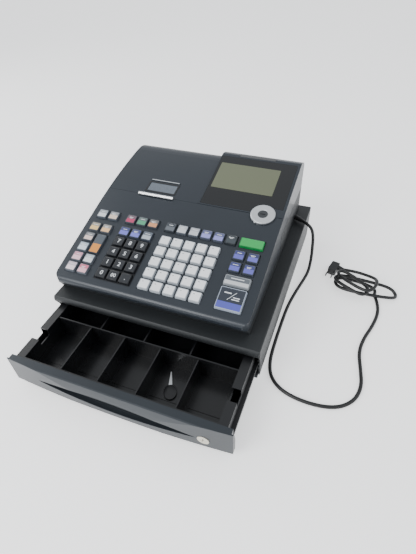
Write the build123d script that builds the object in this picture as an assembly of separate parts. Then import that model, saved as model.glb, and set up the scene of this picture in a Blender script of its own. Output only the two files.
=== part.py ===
"""Electronic cash register on its drawer cabinet, the drawer drawn part open.

Millimetres, +Z up, front towards -Y, +X to the operator's right, underside of the feet on Z = 0.
Most y values are measured back from the nose line, the cabinet's front top edge.
"""

import math
import os

from build123d import *

# Overall sizes
CASE_W = 410.0
CASE_D = 450.0
CASE_TOP = 90.0
DRAWER_OPEN = 140.0
FASCIA_PROUD = 10.0
SHEET = 2.0
WALL = 3.0
SEAM = 0.5

SIDE_X = CASE_W / 2
NOSE_Y = (DRAWER_OPEN + FASCIA_PROUD - CASE_D) / 2

# Drawer cabinet
FOOT_H = 8.0
BASE_TOP = FOOT_H + SHEET
NOSE_UNDER = 72.5
RAIL_Z = (33.0, 44.5)
RAIL_SHEET = 1.5
RAIL_X = SIDE_X - SHEET

# Drawer, seated back from the nose line by its own opening
FASCIA_BACK = 8.5 - DRAWER_OPEN
FASCIA_FRONT = -DRAWER_OPEN - FASCIA_PROUD
FASCIA_Z = (12.0, 71.5)
PAN_X = SIDE_X - 11.0
PAN_Z = 14.0
PAN_SHEET = 1.2
PAN_BACK = FASCIA_BACK + 400.5
TRAY_X = SIDE_X - 27.0
TRAY_BACK = FASCIA_BACK + 300.5
TRAY_FLOOR = (20.0, 22.5)
TRAY_WALL = 2.4
RIM_Z = (68.0, 70.0)
COIN_D = 100.3
NOTCH_Y = (FASCIA_BACK + 42, FASCIA_BACK + 66)
NOTCH_Z = 56.0
LOCK_X = SIDE_X - 47.0
LOCK_Z = 32.0

# Register body
BODY_X = (-SIDE_X, SIDE_X - 27.0)
REAR = CASE_D
SPLIT_Y = 243.0
SPLIT_X = 3.0
FRONT_SPLIT_Z = 108.0
REAR_SPLIT_Z = 150.0
CORNER_R = 18.0
PANEL_TILT = 15.68
PANEL_Z = 121.0
BEND_Y = 180.0
BEND_Z = PANEL_Z + BEND_Y * math.tan(math.radians(PANEL_TILT))
HINGE = (REAR - 4.0, 152.0)
HINGE_R = 3.4

# Display housing
DISPLAY_TILT = 13.5
DISPLAY_Y = 245.0
DISPLAY_Z = 188.3
MODE_X = 137.5
MODE_V = -2.5

# Keys: columns and rows are counted in steps of the pitch
PITCH = 24.9
KEY_RISE = 4.4
KEY_TRAVEL = 3.0
KEY_RIB = 2.4
KEY_PLAY = 0.3
KEY_STEM = 6.0
BOTTOM_ROW = 45.3
NUMERIC_SHIFT = 1.3
LEFT_COLS = (-7.2, -6.16)
NUMERIC_COLS = (-4.56, -3.56, -2.56)
DEPARTMENT_COLS = (-1.0, 0.0, 1.0, 2.0, 3.0)
RIGHT_COLS = (4.92, 5.98)
TOP_ROW = 5.32

# Power cord
CORD_R = 3.5
CORD_Z = CORD_R + 0.2
HANK_H = 29.0
CORD_EXIT = (384.0, 99.4)
SLEEVE_R = CORD_R + 1.3
GLAND_TURN = 30.0
GLAND_L = 21.0

PANEL = Plane(
    origin=(0, NOSE_Y, PANEL_Z),
    x_dir=(1, 0, 0),
    z_dir=(0, -math.sin(math.radians(PANEL_TILT)), math.cos(math.radians(PANEL_TILT))),
)
DISPLAY = Plane(
    origin=(0, NOSE_Y + DISPLAY_Y, DISPLAY_Z),
    x_dir=(1, 0, 0),
    z_dir=(0, -math.sin(math.radians(DISPLAY_TILT)), math.cos(math.radians(DISPLAY_TILT))),
)


def block(x, y, z):
    """A box between three pairs of limits, y measured back from the nose line."""
    centre = ((x[0] + x[1]) / 2, NOSE_Y + (y[0] + y[1]) / 2, (z[0] + z[1]) / 2)
    return Pos(*centre) * Box(x[1] - x[0], y[1] - y[0], z[1] - z[0])


def on_plane(plane, u, v, h):
    """A location on a tilted surface: across, up the slope, and out of it."""
    return plane.location * Pos(u, v, h)


def side_solid(face, x):
    """A side outline in (y, z) drawn out across x."""
    plane = Plane(origin=(x[0], NOSE_Y, 0), x_dir=(0, 1, 0), z_dir=(1, 0, 0))
    return extrude(plane * face, amount=x[1] - x[0], dir=(1, 0, 0))


def side_polygon(points, x):
    """A straight-sided side outline drawn out across x."""
    return side_solid(make_face(Polyline(*points, close=True)), x)


def rod(along, start, length, radius):
    """A round bar from a start point; start's y is measured from the nose line."""
    turn = {"X": Rot(0, 90, 0), "Y": Rot(-90, 0, 0), "Z": Rot(0, 0, 0)}[along]
    shift = {"X": (length / 2, 0, 0), "Y": (0, length / 2, 0), "Z": (0, 0, length / 2)}[along]
    centre = (start[0] + shift[0], NOSE_Y + start[1] + shift[1], start[2] + shift[2])
    return Pos(*centre) * turn * Cylinder(radius, length)


# ---------------------------------------------------------------- drawer cabinet

CHEEK_FRONT = [(0.0, NOSE_UNDER), (0.6, 70.0), (5.0, 62.0), (9.0, 45.0), (12.0, 14.0), (12.0, FOOT_H)]


def case_cover():
    """Pressed steel cover: top, sides, back and the rounded nose over the drawer."""
    outline = [(0.0, CASE_TOP)] + CHEEK_FRONT + [(CASE_D, FOOT_H), (CASE_D, CASE_TOP)]
    body = side_polygon(outline, (-SIDE_X, SIDE_X))
    inside = (-SIDE_X + SHEET, SIDE_X - SHEET)
    nose_back = 14.0
    body -= block(inside, (nose_back, CASE_D - SHEET), (0, CASE_TOP - SHEET))
    body -= block(inside, (-1, nose_back), (0, NOSE_UNDER))
    top_edges = body.edges().filter_by(Axis.Y).sort_by(Axis.Z)[-2:]
    body = fillet(top_edges, 2.5)
    bulge = make_face([Line((0, NOSE_UNDER), (0, CASE_TOP)),
                       ThreePointArc((0, CASE_TOP), (-3.6, 82.5), (0, NOSE_UNDER))])
    body += side_solid(bulge, (-SIDE_X + 1, SIDE_X - 1))
    return body


def case_base():
    """Steel floor plate with upturned sides and the low front lip the lock catches on."""
    inside = SIDE_X - SHEET - 0.3
    plate = block((-inside, inside), (3.5, CASE_D - SHEET - 0.3), (FOOT_H, BASE_TOP))
    plate += block((LOCK_X - 60, LOCK_X + 24), (3.5, 5.0), (FOOT_H, BASE_TOP + 1.6))
    for side in (-1, 1):
        x = sorted((side * (inside - RAIL_SHEET), side * inside))
        plate += block(x, (16.0, CASE_D - 10), (BASE_TOP - 1, 26.0))
    return plate


def rubber_feet():
    """Four tapered rubber feet under the floor plate."""
    feet = []
    for x in (30.0 - SIDE_X, SIDE_X - 30.0):
        for y in (42.0, CASE_D - 40):
            foot = Pos(x, NOSE_Y + y, FOOT_H / 2) * Cone(10, 12, FOOT_H)
            feet.append(foot)
    return Compound(children=feet)


def drawer_rails():
    """A bright steel channel on each side wall that the drawer's runners slide in."""
    rails = []
    for side in (-1, 1):
        web = sorted((side * (RAIL_X - RAIL_SHEET), side * RAIL_X))
        deep = sorted((side * (RAIL_X - 6.0), side * RAIL_X))
        y = (15.0, CASE_D - 12)
        rail = block(web, y, RAIL_Z)
        rail += block(deep, y, (RAIL_Z[0], RAIL_Z[0] + RAIL_SHEET))
        rail += block(deep, y, (RAIL_Z[1] - RAIL_SHEET, RAIL_Z[1]))
        rails.append(rail)
    return Compound(children=rails)


LATCH_AXIS = (436.0 - 450.0 + CASE_D, 60.0)


def release_solenoid():
    """Release coil on its steel bracket, whose ears carry the latch pin."""
    y0, z0 = LATCH_AXIS
    bracket = block((-12, 12), (y0 + 6.5, y0 + 8.0), (BASE_TOP, z0 + 6))
    bracket += block((-12, 12), (y0 - 8, y0 + 8.0), (BASE_TOP, BASE_TOP + 1.5))
    for x in ((-12, -10.5), (10.5, 12)):
        bracket += block(x, (y0 - 6, y0 + 8.0), (BASE_TOP, z0 + 6))
    bracket += block((-9, 9), (y0 - 7, y0 + 7), (BASE_TOP + 1, z0 - 20))
    bracket += rod("Z", (0, y0, z0 - 21), 8, 3.0)
    bracket += rod("X", (-12, y0, z0), 24, 2.0)
    return bracket


def latch_lever():
    """Hooked lever that drops over the drawer pan's back wall, drawn lifted clear."""
    y0, z0 = LATCH_AXIS
    lever = rod("X", (-9, y0, z0), 18, 5.0)
    lever += block((-4, 4), (y0 - 36, y0 - 1), (z0 + 1.6, z0 + 4.8))
    lever += block((-4, 4), (y0 - 36, y0 - 32), (z0 - 6, z0 + 4.8))
    lever -= rod("X", (-13, y0, z0), 26, 2.05)
    pivot = Pos(0, NOSE_Y + y0, z0)
    return pivot * Rot(-20, 0, 0) * pivot.inverse() * lever


def kick_out_spring():
    """Coil spring that pushes the drawer out, drawn at its squeezed length."""
    length = CASE_D - SHEET - 1 - (PAN_BACK + DRAWER_OPEN) - 2
    coil_r = 9.0
    wire_r = 1.0
    start = Pos(-60, NOSE_Y + CASE_D - SHEET - 1 - length, 30.0)
    path = start * Rot(-90, 0, 0) * Helix(pitch=length / 7, height=length, radius=coil_r)
    section = Plane(origin=path @ 0, z_dir=path % 0) * Circle(wire_r)
    return sweep(section, path=path)


# ---------------------------------------------------------------- drawer


def drawer_pan():
    """Sheet steel drawer with a runner bar down each side."""
    front = FASCIA_BACK
    pan = block((-PAN_X, PAN_X), (front, PAN_BACK), (PAN_Z, RIM_Z[0]))
    inner = PAN_X - PAN_SHEET
    pan -= block((-inner, inner), (front - 1, PAN_BACK - PAN_SHEET), (PAN_Z + PAN_SHEET, 100))
    pan -= block((-PAN_X - 1, PAN_X + 1), (PAN_BACK - 40, PAN_BACK + 1), (60, 100))
    pan -= block((-PAN_X - 1, PAN_X + 1), NOTCH_Y, (NOTCH_Z, 100))
    for side in (-1, 1):
        bar = sorted((side * (PAN_X - PAN_SHEET), side * (RAIL_X - RAIL_SHEET - 0.5)))
        pan += block(bar, (front + 6, PAN_BACK - 6), (RAIL_Z[0] + 2.0, RAIL_Z[1] - 2.0))
    return pan


def fascia_outline():
    """Side outline of the drawer front: a bowed face and a flat top band."""
    front = FASCIA_FRONT
    return make_face([
        Line((FASCIA_BACK, FASCIA_Z[0]), (front + 1.5, FASCIA_Z[0])),
        Line((front + 1.5, FASCIA_Z[0]), (front, FASCIA_Z[0] + 2)),
        ThreePointArc((front, FASCIA_Z[0] + 2), (front + 0.9, 45), (front + 4, FASCIA_Z[1] - 2)),
        Line((front + 4, FASCIA_Z[1] - 2), (front + 5.5, FASCIA_Z[1])),
        Line((front + 5.5, FASCIA_Z[1]), (FASCIA_BACK, FASCIA_Z[1])),
        Line((FASCIA_BACK, FASCIA_Z[1]), (FASCIA_BACK, FASCIA_Z[0])),
    ])


def drawer_fascia():
    """Moulded drawer front, bowed in plan, with the crescent grip and the lock's bore."""
    half = SIDE_X + 0.5
    end_y = NOSE_Y + FASCIA_FRONT + 8
    plan = make_face([
        Line((-half, NOSE_Y + FASCIA_BACK), (half, NOSE_Y + FASCIA_BACK)),
        Line((half, NOSE_Y + FASCIA_BACK), (half, end_y)),
        ThreePointArc((half, end_y), (0, NOSE_Y + FASCIA_FRONT), (-half, end_y)),
        Line((-half, end_y), (-half, NOSE_Y + FASCIA_BACK)),
    ])
    fascia = extrude(plan, amount=FASCIA_Z[1] + 10, dir=(0, 0, 1))
    fascia &= side_solid(fascia_outline(), (-half - 1, half + 1))
    # The ends are cut back to seat against the cover's cheeks when the drawer shuts.
    cheek = [(y - DRAWER_OPEN - 0.7, z) for y, z in CHEEK_FRONT[1:4]]
    cheek = [(cheek[0][0], 80)] + cheek + [(cheek[-1][0] + 1, cheek[-1][1] - 8), (0, 30), (0, 80)]
    for side in (-1, 1):
        x = sorted((side * (SIDE_X - SHEET - 0.7), side * (half + 2)))
        fascia -= side_polygon(cheek, x)
    grip = make_face([ThreePointArc((-150, 38), (0, 50.5), (147, 33)),
                      ThreePointArc((147, 33), (5, 26), (-150, 38))])
    plane = Plane(origin=(0, NOSE_Y + FASCIA_FRONT - 1, 0), x_dir=(1, 0, 0), z_dir=(0, -1, 0))
    fascia -= extrude(plane * grip, amount=11, dir=(0, 1, 0))
    fascia -= rod("Y", (LOCK_X, FASCIA_FRONT - 1, LOCK_Z), 30, 9.1)
    fascia -= rod("Y", (LOCK_X, FASCIA_FRONT - 1, LOCK_Z), 6.5, 10.3)
    fascia -= rod("Y", (LOCK_X, FASCIA_BACK - 3, LOCK_Z), 4, 23.5)
    return fascia


def drawer_lock_body():
    """Nickel-plated lock barrel with its round front flange."""
    face = FASCIA_FRONT + 4
    body = rod("Y", (LOCK_X, face, LOCK_Z), 1.5, 10.0)
    body += rod("Y", (LOCK_X, face, LOCK_Z), FASCIA_BACK - 3.2 - face, 9.0)
    body -= rod("Y", (LOCK_X, face - 1, LOCK_Z), 30, 5.05)
    return body


def drawer_lock_plug():
    """Turning plug with the key slot in front and the flat locking cam behind."""
    face = FASCIA_FRONT + 4.3
    cam_y = FASCIA_BACK - 2.7
    plug = rod("Y", (LOCK_X, face, LOCK_Z), cam_y - face, 5.0)
    plug += block((LOCK_X - 21.6, LOCK_X + 4), (cam_y - 0.01, cam_y + 2), (LOCK_Z - 4, LOCK_Z + 4))
    plug -= block((LOCK_X - 0.8, LOCK_X + 0.8), (face - 1, face + 8), (LOCK_Z - 3.6, LOCK_Z + 3.6))
    return plug


def till_tray():
    """Moulded lift-out tray: one tub with a flat rim that rests on the pan's sides."""
    front = FASCIA_BACK + 0.3
    outer = TRAY_X + TRAY_WALL
    tray = block((-outer, outer), (front, TRAY_BACK), (TRAY_FLOOR[0], RIM_Z[1]))
    tray += block((-PAN_X, PAN_X), (front, TRAY_BACK), RIM_Z)
    well = (front + TRAY_WALL, TRAY_BACK - TRAY_WALL)
    tray -= block((-TRAY_X, TRAY_X), well, (TRAY_FLOOR[1], 100))
    # A finger notch through each side rim, beside the coin cups.
    tray -= block((-PAN_X - 1, PAN_X + 1), NOTCH_Y, (NOTCH_Z, 100))
    return tray


def till_dividers():
    """Push-in partitions: one cross wall, four between coins and three between notes."""
    front = FASCIA_BACK + 0.3 + TRAY_WALL
    cross = (FASCIA_BACK + COIN_D, FASCIA_BACK + COIN_D + 2.4)
    gap = 0.1
    top = RIM_Z[0] - 2
    floor = TRAY_FLOOR[1]
    walls = [block((-TRAY_X + gap, TRAY_X - gap), cross, (floor, RIM_Z[0]))]
    for step in (-1.5, -0.5, 0.5, 1.5):
        x = step * 2 * TRAY_X / 5
        walls.append(block((x - 1.0, x + 1.0), (front + gap, cross[0] - gap), (floor, top)))
    for step in (-1, 0, 1):
        x = step * TRAY_X / 2
        back = TRAY_BACK - TRAY_WALL - gap
        walls.append(block((x - 1.2, x + 1.2), (cross[1] + gap, back), (floor, top)))
    return Compound(children=walls)


# ---------------------------------------------------------------- register body


def body_outline(inset):
    """Side outline of the body: front lip, tilted panel, crown and rounded back."""
    slope = math.tan(math.radians(PANEL_TILT))
    lip_top = (24.0, PANEL_Z + 24 * slope)
    bend = (BEND_Y, BEND_Z)
    crown = (REAR - 65, 210.0)
    brow = (REAR - 57, 210.3)
    face = make_face([
        Line((30, CASE_TOP), (21, FRONT_SPLIT_Z)),
        ThreePointArc((21, FRONT_SPLIT_Z), (14.5, 117.0), lip_top),
        Line(lip_top, bend),
        TangentArc(bend, crown, tangent=(1, slope)),
        Line(crown, brow),
        ThreePointArc(brow, (REAR - 16.1, 193.9), (REAR, 153)),
        Line((REAR, 153), (REAR, 130)),
        Line((REAR, 130), (REAR - 12, CASE_TOP)),
        Line((REAR - 12, CASE_TOP), (30, CASE_TOP)),
    ])
    if inset:
        return offset(face, amount=-inset)
    return face


def plan_solid(inset):
    """The body's plan outline with rounded corners, as a tall prism."""
    width = BODY_X[1] - BODY_X[0] - 2 * inset
    depth = REAR - 13 - 2 * inset
    plan = RectangleRounded(width, depth, CORNER_R - inset)
    centre = Pos((BODY_X[0] + BODY_X[1]) / 2, NOSE_Y + (REAR + 13) / 2, 0)
    return extrude(centre * plan, amount=300, dir=(0, 0, 1))


def body_solid(inset):
    """The whole body as one lump, drawn in by inset on every side."""
    lump = side_solid(body_outline(inset), (BODY_X[0] + inset, BODY_X[1] - inset))
    return lump & plan_solid(inset)


def shell_piece(y, z, x):
    """The part of the body's thin shell that lies inside the given limits."""
    region = block(x, y, z)
    return (body_solid(0) & region) - body_solid(WALL)


WIDE = (-SIDE_X - 10, SIDE_X + 10)


def hinge_barrels(spans):
    """Lengths of hinge barrel along the back edge of the printer cover."""
    y0, z0 = HINGE
    barrels = rod("X", (spans[0][0], y0, z0), spans[0][1] - spans[0][0], HINGE_R)
    for x0, x1 in spans[1:]:
        barrels += rod("X", (x0, y0, z0), x1 - x0, HINGE_R)
    return barrels


FIXED_SPANS = [(10 - SIDE_X, 40 - SIDE_X), (-115.0, -85.0), (-30.0, -2.0)]
MOVING_SPANS = [(40.5 - SIDE_X, 70.5 - SIDE_X), (-60.5, -30.5)]


def lower_housing():
    """Moulded lower body: floor, side walls and the hinge for the printer cover."""
    front = shell_piece((0, SPLIT_Y), (CASE_TOP, FRONT_SPLIT_Z), WIDE)
    back = shell_piece((SPLIT_Y, REAR + 1), (CASE_TOP, REAR_SPLIT_Z), WIDE)
    housing = front + back
    # Under the cover's hinge the back wall stops short, and the barrels fill the slot.
    slot_x = (CORNER_R - SIDE_X, SPLIT_X)
    housing -= block(slot_x, (REAR - 8, REAR + 2), (REAR_SPLIT_Z - 3, 200))
    y0, z0 = HINGE
    for x in FIXED_SPANS:
        housing += block(x, (y0, REAR - 0.6), (REAR_SPLIT_Z - 4, z0))
    housing += hinge_barrels(FIXED_SPANS)
    housing += rod("X", (10 - SIDE_X, y0, z0), SIDE_X - 12, 1.5)
    housing -= rod("X", (BODY_X[1] - 10, CORD_EXIT[0], CORD_EXIT[1]), 20, SLEEVE_R + 0.1)
    for x in (-150.0, 110.0):
        for y in (70.0, 210.0):
            housing += rod("Z", (x, y, CASE_TOP + 1), 9, 4.0)
    for x in SCREW_X:
        housing -= rod("Y", (x, REAR - 20, SCREW_Z), 30, 1.7)
    return housing


SCREW_X = (-170.0, -60.0, 40.0, 140.0)
SCREW_Z = 100.0


def housing_screws():
    """Four pan-head screws through the lower housing's back wall."""
    screws = []
    for x in SCREW_X:
        screw = rod("Y", (x, REAR - 7.8, SCREW_Z), 2.2, 3.4)
        screw += rod("Y", (x, REAR - 18, SCREW_Z), 10.5, 1.6)
        screw -= block((x - 2.4, x + 2.4), (REAR - 6.6, REAR), (SCREW_Z - 0.5, SCREW_Z + 0.5))
        screws.append(screw)
    return Compound(children=screws)


def key_spot(col, row, shift=0.0):
    """Centre of a key on the panel, counted in pitches from the bottom row."""
    return (col * PITCH, BOTTOM_ROW + shift + row * PITCH)


def wide_spot(cols, rows, shift=0.0):
    """Centre and size of a key that covers several columns or rows."""
    low = key_spot(cols[0], rows[0], shift)
    high = key_spot(cols[1], rows[1], shift)
    centre = ((low[0] + high[0]) / 2, (low[1] + high[1]) / 2)
    return centre + (high[0] - low[0] + PITCH, high[1] - low[1] + PITCH)


def one_spot(col, row, shift=0.0):
    """Centre and one-pitch size of a single key."""
    return key_spot(col, row, shift) + (PITCH, PITCH)


def key_groups():
    """Every key node with its keys as (u, v, width, depth)."""
    groups = {}
    names = ("zero", "double_zero", "point", "one", "two", "three",
             "four", "five", "six", "seven", "eight", "nine")
    for index, name in enumerate(names):
        col = NUMERIC_COLS[index % 3]
        groups["numeric_key_" + name] = [one_spot(col, index // 3, NUMERIC_SHIFT)]
    for row in range(5):
        spots = [one_spot(col, row) for col in DEPARTMENT_COLS]
        groups["department_keys_row_" + str(5 - row)] = spots
    top = [one_spot(col - 0.06, TOP_ROW) for col in (-1, 0, 1, 2, 3, 4)]
    groups["function_keys_top"] = top + [wide_spot((5.03, 6.03), (TOP_ROW, TOP_ROW))]
    left, right = LEFT_COLS
    upper = [one_spot(left, TOP_ROW), one_spot(right, TOP_ROW), one_spot(left, 3.94),
             one_spot(right, 3.94), one_spot(left, 2.9), one_spot(left, 1.9)]
    groups["function_keys_left"] = upper + [wide_spot((right, right), (1.9, 2.9))]
    lower = [one_spot(col, row) for col in LEFT_COLS for row in (0, 0.95)]
    groups["function_keys_low_left"] = lower
    clerk = [one_spot(col, row) for col in NUMERIC_COLS for row in (4.06, TOP_ROW)]
    groups["clerk_keys"] = clerk
    payment = [one_spot(col, row) for col in RIGHT_COLS for row in (3.06, 4.1)]
    groups["function_keys_right"] = payment
    groups["subtotal_key"] = [wide_spot(RIGHT_COLS, (1.93, 1.93))]
    groups["cash_key"] = [wide_spot(RIGHT_COLS, (0.0, 0.93))]
    return groups


def key_hole(u, v, width, depth):
    """The opening in the panel for one key."""
    hole = Box(width - KEY_RIB, depth - KEY_RIB, 20)
    return on_plane(PANEL, u, v, 0) * hole


def keycap(u, v, width, depth):
    """One hollow keycap: tapered skirt, retaining flange and centre stem."""
    w = width - KEY_RIB - 2 * KEY_PLAY
    d = depth - KEY_RIB - 2 * KEY_PLAY
    shank = WALL + 0.2
    skirt = Pos(0, 0, -shank / 2) * Box(w, d, shank)
    base = Rectangle(w, d)
    top = Pos(0, 0.3, KEY_RISE) * RectangleRounded(w - 1.9, d - 2.4, 1.6)
    cap = skirt + loft([base.face(), top.face()])
    flange = Pos(0, 0, -shank - 0.5) * Box(w + 1.2, d + 1.2, 1.0)
    cap += flange
    hollow_h = shank + 1.0 + KEY_RISE - 1.8
    hollow = Pos(0, 0, -shank - 1.0 + hollow_h / 2) * Box(w - 3.6, d - 3.6, hollow_h)
    stem_h = hollow_h + KEY_STEM
    stem = Pos(0, 0, -shank - 1.0 - KEY_STEM + stem_h / 2) * Cylinder(3.0, stem_h)
    cap = cap - hollow + stem
    return on_plane(PANEL, u, v, 0) * cap


def keys(spots):
    """All the keycaps of one node."""
    caps = [keycap(*spot) for spot in spots]
    if len(caps) == 1:
        return caps[0]
    return Compound(children=caps)


def keyboard_panel():
    """Moulded top panel: front lip, one opening per key and the sunk number pad."""
    panel = shell_piece((0, SPLIT_Y - SEAM), (FRONT_SPLIT_Z + SEAM, 260), WIDE)
    low = key_spot(NUMERIC_COLS[0] - 0.5, -0.5, NUMERIC_SHIFT)
    high = key_spot(NUMERIC_COLS[2] + 0.5, 3.5, NUMERIC_SHIFT)
    sink = Box(high[0] - low[0] + 2, high[1] - low[1] + 2, 1.6)
    centre = ((low[0] + high[0]) / 2, (low[1] + high[1]) / 2)
    panel -= on_plane(PANEL, centre[0], centre[1], 0) * sink
    holes = [key_hole(*spot) for spots in key_groups().values() for spot in spots]
    panel -= Compound(children=holes)
    panel -= on_plane(DISPLAY, MODE_X, MODE_V, 0) * Cylinder(26.5, 60)
    return panel


def under_panel_sheet(high, thick, margin):
    """A flat sheet parallel to the panel, high below its surface."""
    low = key_spot(LEFT_COLS[0], 0)
    top = key_spot(RIGHT_COLS[1], TOP_ROW)
    size = (top[0] - low[0] + PITCH - margin, top[1] - low[1] + PITCH - margin)
    centre = on_plane(PANEL, (low[0] + top[0]) / 2, (low[1] + top[1]) / 2, high - thick / 2)
    return centre * Box(size[0], size[1], thick)


MAT_TOP = -(WALL + 1.2 + KEY_STEM + KEY_TRAVEL + 0.4)


def contact_mat():
    """Silicone switch sheet under the key stems."""
    return under_panel_sheet(MAT_TOP, 1.2, 6.0)


def keyboard_board():
    """Printed keyboard circuit board carrying the switch sheet."""
    return under_panel_sheet(MAT_TOP - 1.2, 1.6, 4.0)


def main_board():
    """Main circuit board on four posts, with its larger parts."""
    top = CASE_TOP + 11.6
    board = block((-165, 130), (55, 225), (top - 1.6, top))
    board += block((-60, -30), (120, 150), (top - 0.1, top + 3))
    board += block((20, 60), (120, 135), (top - 0.1, top + 4))
    for x in (80.0, 100.0):
        board += rod("Z", (x, 190, top - 0.1), 14, 6.0)
    return board


def power_transformer():
    """Mains transformer: steel core, wound bobbin and foot."""
    x0, y0, z0 = 132.0, REAR - 95, CASE_TOP + WALL
    body = block((x0 - 28, x0 + 28), (y0 - 12, y0 + 12), (z0 + 1.5, z0 + 46))
    body += block((x0 - 16, x0 + 16), (y0 - 20, y0 + 20), (z0 + 9, z0 + 38))
    body += block((x0 - 28, x0 + 28), (y0 - 16, y0 + 16), (z0, z0 + 1.6))
    return body


# ---------------------------------------------------------------- receipt printer

PRINTER_X = -91.0
WINDOW_X = (-119.5, -56.5)
WINDOW_Y = (255.0, 280.0)
PLATEN = (262.0, BEND_Z - 1.53)
ROLL = (345.0, 142.0)


def printer_cover():
    """Hinged cover over the printer with the paper slot, the window and its finger bar."""
    x = (-SIDE_X - 5, SPLIT_X - SEAM / 2)
    cover = shell_piece((SPLIT_Y, REAR + 1), (REAR_SPLIT_Z + SEAM, 260), x)
    cover -= block(x, (REAR - 12, REAR + 2), (REAR_SPLIT_Z - 1, HINGE[1] + 4))
    cover -= block(WINDOW_X, WINDOW_Y, (150, 260))
    cover -= block((-124, -58), (SPLIT_Y - 1, SPLIT_Y + 4), (150, 260))
    bar = block((-122, -55), (285.5, 288.5), (150, 260)) & body_solid(-1.2)
    cover += bar - body_solid(1.0)
    y0, z0 = HINGE
    for span in MOVING_SPANS:
        cover += block(span, (y0 + 0.5, REAR - 0.6), (z0, z0 + 4.5))
    cover += hinge_barrels(MOVING_SPANS)
    cover -= rod("X", (-SIDE_X, y0, z0), SIDE_X, 1.56)
    return cover


def printer_window():
    """Smoked window plate set flush in the cover."""
    region = block((WINDOW_X[0] + 0.3, WINDOW_X[1] - 0.3), (WINDOW_Y[0] + 0.3, WINDOW_Y[1] - 0.3), (150, 260))
    return (body_solid(0.3) & region) - body_solid(2.3)


def cutter_bar():
    """Toothed steel tear-off strip standing just in front of the paper slot."""
    top = PANEL_Z + 240 * math.tan(math.radians(PANEL_TILT))
    strip = block((-131, -52), (237.5, 241.5), (top + 0.7, top + 2.2))
    strip += block((-131, -52), (240.0, 241.5), (top + 0.7, top + 4.4))
    return strip


def printer_frame():
    """Steel side plates and base holding the platen and the paper roll's spindle."""
    x0, x1 = PRINTER_X - 34, PRINTER_X + 34
    floor = CASE_TOP + WALL
    sheet = 1.5
    frame = block((x0, x1), (250, 400), (floor, floor + sheet))
    for x in ((x0, x0 + sheet), (x1 - sheet, x1)):
        frame += block(x, (250, 275), (floor, PLATEN[1] + 14))
        frame += block(x, (275, 400), (floor, ROLL[1] + 8))
    frame += block((x0, x1), (272, 274), (floor, PLATEN[1] - 6))
    frame += rod("X", (x0, ROLL[0], ROLL[1]), x1 - x0, 4.0)
    frame -= rod("X", (x0 - 1, PLATEN[0], PLATEN[1]), x1 - x0 + 2, 2.55)
    return frame


def platen_roller():
    """Rubber platen on its steel shaft, with the drive gear blank at one end."""
    x0, x1 = PRINTER_X - 34, PRINTER_X + 34
    roller = rod("X", (x0 - 4, PLATEN[0], PLATEN[1]), x1 - x0 + 8, 2.5)
    roller += rod("X", (x0 + 2.5, PLATEN[0], PLATEN[1]), x1 - x0 - 5, 7.0)
    roller += rod("X", (x1 + 1, PLATEN[0], PLATEN[1]), 3, 8.0)
    return roller


def paper_roll():
    """Roll of receipt paper on its core, turning on the spindle."""
    half = 28.7
    roll = rod("X", (PRINTER_X - half, ROLL[0], ROLL[1]), 2 * half, 36.0)
    roll -= rod("X", (PRINTER_X - half - 1, ROLL[0], ROLL[1]), 2 * half + 2, 5.5)
    return roll


# ---------------------------------------------------------------- display and mode switch


def display_outline(inset):
    """Side outline of the display housing, higher than the body at the back."""
    slope = math.tan(math.radians(DISPLAY_TILT))
    front = SPLIT_Y + SEAM / 2 + inset
    low = REAR_SPLIT_Z + SEAM
    brow = (REAR - 55, DISPLAY_Z + (REAR - 55 - DISPLAY_Y) * slope)
    face = make_face([
        Line((front, low), (front, DISPLAY_Z + (front - DISPLAY_Y) * slope)),
        Line((front, DISPLAY_Z + (front - DISPLAY_Y) * slope), brow),
        ThreePointArc(brow, (REAR - 15, 203), (REAR, 158)),
        Line((REAR, 158), (REAR, low)),
        Line((REAR, low), (front, low)),
    ])
    return face


def display_lump(inset):
    """The display housing's outer lump with rounded rear corners, drawn in by inset."""
    face = display_outline(0)
    if inset:
        face = offset(face, amount=-inset)
    x = (SPLIT_X + SEAM / 2 + inset, BODY_X[1] - inset)
    return side_solid(face, x) & plan_solid(inset)


def display_housing():
    """Moulded housing for the screen, with the round seat of the mode switch."""
    boss = on_plane(DISPLAY, MODE_X, MODE_V, -12) * Cylinder(26.0, 24)
    housing = display_lump(0) + boss
    hollow = display_lump(WALL + 1.5) + block((SPLIT_X + 5, BODY_X[1] - 5), (SPLIT_Y + 5, REAR - 6), (140, 160))
    housing -= hollow
    housing -= on_plane(DISPLAY, MODE_X, MODE_V, -16) * Cylinder(23.0, 24)
    housing -= on_plane(DISPLAY, MODE_X, MODE_V, 0) * Cylinder(14.1, 40)
    recess = extrude(lens_outline(0.0), amount=-2.0)
    housing -= on_plane(DISPLAY, 0, 0, 0) * recess
    housing -= on_plane(DISPLAY, 76.3, 87.5, 0) * Box(130, 75, 30)
    housing -= block((CUSTOMER_X[0] - 0.4, CUSTOMER_X[1] + 0.4), (CUSTOMER_Y[0] - 0.4, CUSTOMER_Y[1] + 0.4), (200, 260))
    return housing


def lens_outline(inset):
    """The lens in the display plane: a rectangle scooped out round the mode switch."""
    lens = Pos(88.5, 74) * RectangleRounded(167 - 2 * inset, 146 - 2 * inset, 4)
    lens -= Pos(MODE_X, MODE_V) * Circle(27.5 + inset)
    lens -= Pos(MODE_X + 20, 4) * Rectangle(40, 28 + 2 * inset)
    return lens


def display_lens():
    """Glossy acrylic lens, black round the screen area."""
    lens = extrude(lens_outline(0.3), amount=-1.9)
    return on_plane(DISPLAY, 0, 0, -0.05) * lens


def display_panel():
    """Liquid crystal panel just under the lens."""
    return on_plane(DISPLAY, 76.3, 87.5, -5.0) * Box(129, 74, 5.4)


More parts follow.
